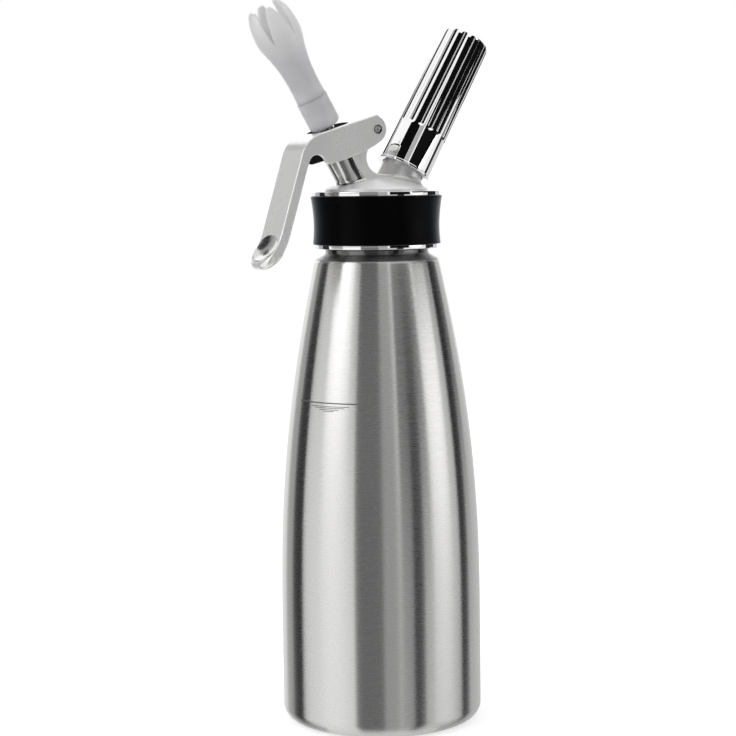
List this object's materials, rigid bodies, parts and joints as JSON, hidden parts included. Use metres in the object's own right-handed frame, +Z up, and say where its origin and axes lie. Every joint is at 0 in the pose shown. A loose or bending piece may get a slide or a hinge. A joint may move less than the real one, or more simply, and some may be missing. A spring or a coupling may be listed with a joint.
{
  "type": "whipped cream dispenser",
  "caption": "Steel cream whipper: bottle, screw-on head with squeeze lever and spring valve, slotted plastic tip, fluted gas-charger holder.",
  "frame": {"origin": "bottle axis on the surface that the dispenser stands on", "axes": "+Z up along the bottle axis, -X towards the lever and the decorator tip, +X towards the charger holder"},
  "size_m": [0.1246, 0.0962, 0.3434],
  "materials": {
    "brushed_bottle": "fine brushing round the bottle",
    "satin_steel": "satin",
    "polished_steel": "polished",
    "chrome_holder": "mirror",
    "pin_steel": "dark spring steel",
    "spring_steel": "drawn wire",
    "charger_steel": "plated sheet steel",
    "brass": "turned",
    "black_rubber": "matte",
    "seal_rubber": "matte",
    "gasket_silicone": "matte silicone",
    "tip_plastic": "milky, slightly translucent",
    "white_plastic": "moulded"
  },
  "bodies": {
    "bottle": {"bottle": "brushed_bottle"},
    "head_lift": {"head_gasket": "gasket_silicone"},
    "head": {"head": "polished_steel", "grip_band": "black_rubber", "lever_pin": "pin_steel", "valve_guide": "white_plastic", "valve_spring": "spring_steel", "piercing_pin": "brass", "inlet_seal": "seal_rubber", "check_spring": "spring_steel", "check_plug": "polished_steel"},
    "lever": {"lever": "satin_steel"},
    "valve": {"valve_stem": "polished_steel", "valve_seal": "seal_rubber", "stem_ring": "seal_rubber", "spring_collar": "polished_steel"},
    "tip": {"decorator_tip": "tip_plastic", "tip_washer": "seal_rubber"},
    "tip_nut": {"tip_nut": "tip_plastic", "nut_insert": "polished_steel"},
    "charger": {"charger_bulb": "charger_steel", "charger_cap": "polished_steel"},
    "holder": {"charger_holder": "chrome_holder", "holder_liner": "white_plastic"},
    "check_valve": {"check_disc": "seal_rubber"}
  },
  "joints": [
    {"name": "head_rise", "type": "slide", "parent": "bottle", "child": "head_lift", "axis": [0, 0, 1], "range_m": [0, 0.007]},
    {"name": "head_turn", "type": "hinge", "parent": "head_lift", "child": "head", "pos_m": [0, 0, 0.24], "axis": [0, 0, 1], "range_deg": [0, 720]},
    {"name": "lever_squeeze", "type": "hinge", "parent": "head", "child": "lever", "pos_m": [-0.0045, 0, 0.2838], "axis": [0, -1, 0], "range_deg": [0, 12], "stiffness_Nm_per_rad": 6, "springref_deg": -5.73},
    {"name": "valve_press", "type": "slide", "parent": "head", "child": "valve", "axis": [0.5, 0, -0.866], "range_m": [0, 0.004], "deforming": ["valve_spring"]},
    {"name": "tip_rise", "type": "slide", "parent": "valve", "child": "tip", "axis": [-0.5, 0, 0.866], "range_m": [0, 0.006]},
    {"name": "nut_turn", "type": "hinge", "parent": "tip", "child": "tip_nut", "pos_m": [-0.03, 0, 0.29146], "axis": [-0.5, 0, 0.866], "range_deg": [0, 1440]},
    {"name": "charger_rise", "type": "slide", "parent": "head", "child": "charger", "axis": [0.5, 0, 0.866], "range_m": [0, 0.012]},
    {"name": "holder_turn", "type": "hinge", "parent": "charger", "child": "holder", "pos_m": [0.03, 0, 0.29146], "axis": [0.5, 0, 0.866], "range_deg": [0, 2160]},
    {"name": "check_open", "type": "slide", "parent": "head", "child": "check_valve", "axis": [-0.5, 0, -0.866], "range_m": [0, 0.001], "stiffness_N_per_m": 40, "springref_m": -0.0005, "deforming": ["check_spring"]}
  ],
  "couplings": [
    {"joint": "head_rise", "follows": "head_turn", "m_per_rad": 0.00055704},
    {"joint": "valve_press", "follows": "lever_squeeze", "m_per_rad": 0.018895},
    {"joint": "nut_turn", "follows": "tip_rise", "rad_per_m": 4188.8},
    {"joint": "holder_turn", "follows": "charger_rise", "rad_per_m": 3141.6}
  ]
}
